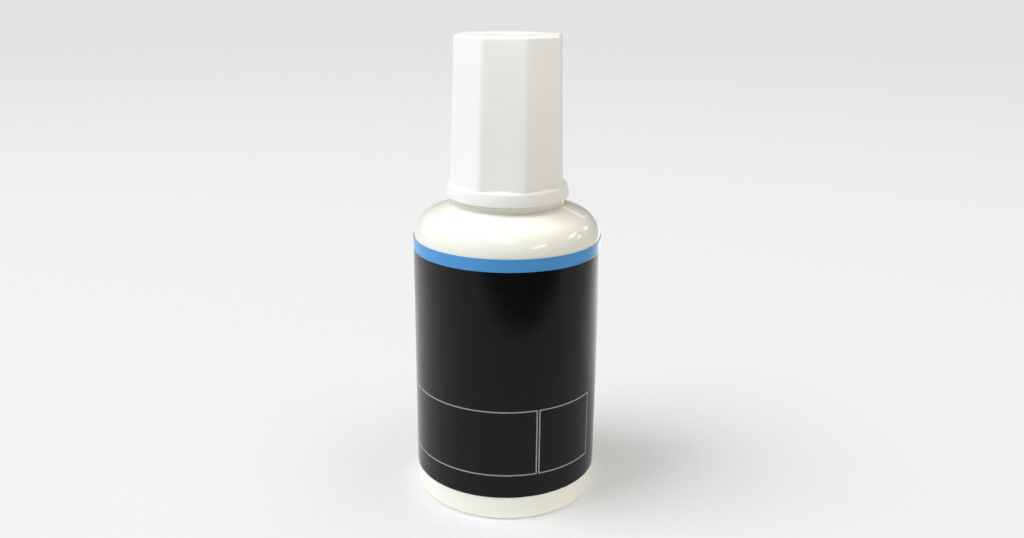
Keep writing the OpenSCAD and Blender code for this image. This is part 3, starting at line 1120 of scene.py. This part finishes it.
# Studio: pale floor, a large soft light on the left, weaker ones on the right and above,
# and strips that only reflections see, for the glints on the shoulder
studio = {
    "floorRadius": 9.0,  # metres
    "floorSides": 96,
    "floorTone": 0.50,
    "fibreScale": 900,
    "fibreTones": (0.98, 1.02),
    "floorBounce": 0.31,  # glow that lights the pieces from below
    "floorShine": 0.22,  # glow that their reflections see
    "floorSeenTone": 0.12,  # the camera sees a darker floor with more glow, which evens it out
    "floorSeenGlow": 0.75,
    "shadowReach": 80,  # mm from the bottle within which the floor shows its shadow
    "shadowDepth": 0.62,
    "floorLight": 1.2,  # what the open floor there gets from the lights
    "paintedLightPools": [
        # painted pools of light on the floor, glowing only for the rays named: rays that see them, middle
        # and reach in mm, brightness
        ("Is Glossy Ray", (-95, 40), (115, 120), 0.7),
        ("Is Glossy Ray", (75, 140), (80, 135), 1.7),
        ("Is Diffuse Ray", (0, 0), (75, 75), 0.45),
    ],
    "worldLeft": (1.0, 1.0, 1.0),
    "worldRight": (0.95, 0.885, 0.76),
    "worldStrength": 0.15,
    "worldSeen": (0.78, 0.78, 0.78),  # behind the floor, for the camera only
    "aim": (0, 0, 35),
    "lights": [
        # name, place in mm, size in mm, watts, colour
        ("keyPanel", (-350, -100, 520), (400, 400), 3.4, (0.97, 1.0, 1.05)),
        ("frontPanel", (0, -260, 560), (300, 300), 0.36, (1.0, 1.0, 1.0)),
        ("overheadPanel", (0, 60, 600), (700, 700), 0.94, (1.0, 1.0, 1.0)),
        ("rightPanel", (260, -120, 540), (300, 300), 0.5, (1.0, 0.95, 0.86)),
        ("rearPanel", (300, 150, 450), (300, 300), 0.32, (1.0, 0.97, 0.9)),
        ("fillPanel", (300, -150, 150), (200, 100), 0.11, (1.0, 0.88, 0.70)),
    ],
    "mirrored": "overheadPanel",  # the only panel that reflections see
    "capSpot": {"place": (80, -112, 80), "aim": (0, -8, 75), "degrees": 20.0, "watts": 0.075, "radius": 10},
    "strips": [
        # name, one end and the other in mm, width in mm, brightness
        ("frontStrip", (-169, -40, 495), (35, -335, 399), 60, 5.5),
        ("rightStrip", (230, -375, 262), (330, -265, 295), 48, 7.0),
        ("sideStrip", (419, 10, 293), (394, 139, 292), 40, 6.0),
        ("lowSideStrip", (450, 82, 213), (431, 149, 213), 30, 6.0),
        ("rearStrip", (368, 256, 230), (336, 313, 199), 40, 4.0),
        ("backStrip", (215, 400, 200), (140, 425, 215), 30, 1.3),
        # darkScreen is a black card that only reflections see, for a darker reflection across the front of
        # the label
        ("darkScreen", (-76, -116, 15.5), (114, -57, 15.5), 24, 0.0),
    ],
}
glowWhite = (1, 1, 1, 1)


def placeMesh(name, bm, material):
    mesh = bpy.data.meshes.new(name)
    bm.to_mesh(mesh)
    bm.free()
    mesh.materials.append(material)
    made = bpy.data.objects.new(name, mesh)
    scene.collection.objects.link(made)
    return made


def addPool(tree, where, middle, reach):
    # one in the middle, falling evenly to nothing at its reach
    scale = [1 / (side * mm) for side in reach]
    shift = [-place / side for place, side in zip(middle, reach)]
    spread = addNode(tree, "ShaderNodeMapping", Location=(*shift, 0), Scale=(*scale, 0))
    tree.links.new(where, spread.inputs["Vector"])
    pool = tree.nodes.new("ShaderNodeTexGradient")
    pool.gradient_type = "SPHERICAL"
    tree.links.new(spread.outputs["Vector"], pool.inputs["Vector"])
    return pool.outputs["Fac"]


def makeFloor(spec):
    material, tree, shader, where = startMaterial("floorPaper")
    ray = tree.nodes.new("ShaderNodeLightPath")
    seen = ray.outputs["Is Camera Ray"]
    near = addPool(tree, where, (0, 0), [spec["shadowReach"]] * 2)
    near = addMath(tree, "MULTIPLY", addMath(tree, "MULTIPLY", near, seen), spec["shadowDepth"])
    tone = addRange(tree, seen, 0.0, 1.0, spec["floorTone"], spec["floorSeenTone"])
    fibre = addRange(tree, addNoise(tree, where, spec["fibreScale"], 4.0), 0.3, 0.7, *spec["fibreTones"])
    tone = addMath(tree, "MULTIPLY", addMath(tree, "ADD", tone, near), fibre)
    tree.links.new(tone, shader.inputs["Base Color"])
    glow = addRange(tree, seen, 0.0, 1.0, spec["floorBounce"], spec["floorSeenGlow"])
    glow = addMath(tree, "SUBTRACT", glow, addMath(tree, "MULTIPLY", near, spec["floorLight"]))
    dimmer = spec["floorShine"] - spec["floorBounce"]
    glow = addMath(tree, "ADD", glow, addMath(tree, "MULTIPLY", ray.outputs["Is Glossy Ray"], dimmer))
    # painted pools of light in the floor's glow: the glossy ones are painted reflections that give the
    # label its side sheen, the diffuse one is painted light on the foot from below
    for kind, middle, reach, brightness in spec["paintedLightPools"]:
        pool = addMath(tree, "MULTIPLY", addPool(tree, where, middle, reach), brightness)
        glow = addMath(tree, "ADD", glow, addMath(tree, "MULTIPLY", pool, ray.outputs[kind]))
    tree.links.new(glow, shader.inputs["Emission Strength"])
    setSockets(shader, Roughness=1.0, Specular_IOR_Level=0.0, Emission_Color=glowWhite)
    bm = bmesh.new()
    bmesh.ops.create_circle(bm, cap_ends=True, segments=spec["floorSides"], radius=spec["floorRadius"])
    placeMesh("studioFloor", bm, material)


def addStrips(spec):
    aim = Vector(spec["aim"])
    for name, oneEnd, otherEnd, width, brightness in spec["strips"]:
        material, tree, shader, where = startMaterial(name)
        setSockets(shader, Base_Color=(0, 0, 0, 1), Specular_IOR_Level=0.0)
        setSockets(shader, Emission_Color=glowWhite, Emission_Strength=brightness)
        oneEnd, otherEnd = Vector(oneEnd), Vector(otherEnd)
        middle = (oneEnd + otherEnd) / 2
        along = (otherEnd - oneEnd).normalized()
        across = along.cross(aim - middle).normalized()
        turned = Matrix((along, across, along.cross(across))).transposed().to_4x4()
        sized = Matrix.Diagonal(((otherEnd - oneEnd).length * mm, width * mm, 1, 1))
        placed = Matrix.Translation(middle * mm) @ turned @ sized
        bm = bmesh.new()
        bmesh.ops.create_grid(bm, x_segments=1, y_segments=1, size=0.5, matrix=placed)
        strip = placeMesh(name, bm, material)
        strip.visible_camera = False
        strip.visible_diffuse = False
        strip.visible_transmission = False
        strip.visible_shadow = False


def hangLight(name, data, place, aim):
    place, aim = Vector(place) * mm, Vector(aim) * mm
    light = bpy.data.objects.new(name, data)
    light.location = place
    light.rotation_euler = (aim - place).to_track_quat("-Z", "Y").to_euler()
    light.visible_camera = False
    light.visible_glossy = name == studio["mirrored"]  # the strips make the glints
    scene.collection.objects.link(light)


def addLights(spec):
    for name, place, size, watts, colour in spec["lights"]:
        data = bpy.data.lights.new(name, "AREA")
        data.shape = "RECTANGLE"
        data.size, data.size_y = (side * mm for side in size)
        data.energy = watts
        data.color = colour
        hangLight(name, data, place, spec["aim"])
    spot = spec["capSpot"]
    data = bpy.data.lights.new("capSpot", "SPOT")
    data.spot_size = math.radians(spot["degrees"])
    data.spot_blend = 1.0
    data.shadow_soft_size = spot["radius"] * mm
    data.energy = spot["watts"]
    hangLight("capSpot", data, spot["place"], spot["aim"])


def makeWorld(spec):
    world = bpy.data.worlds.new("studioWorld")
    world.use_nodes = True
    tree = world.node_tree
    across = tree.nodes.new("ShaderNodeSeparateXYZ")
    tree.links.new(tree.nodes.new("ShaderNodeTexCoord").outputs["Generated"], across.inputs["Vector"])
    share = addRange(tree, across.outputs["X"], 0.0, 1.0, 0.0, 1.0)
    left, right = (
        [part * spec["worldStrength"] for part in spec[side]] for side in ("worldLeft", "worldRight")
    )
    sky = addRamp(tree, share, (0.0, left), (1.0, right))
    seen = tree.nodes.new("ShaderNodeLightPath").outputs["Is Camera Ray"]
    tree.links.new(addMix(tree, seen, sky, spec["worldSeen"]), tree.nodes["Background"].inputs["Color"])
    scene.world = world
    scene.view_settings.view_transform = "Standard"


makeFloor(studio)
addStrips(studio)
addLights(studio)
makeWorld(studio)
print("studio lit")
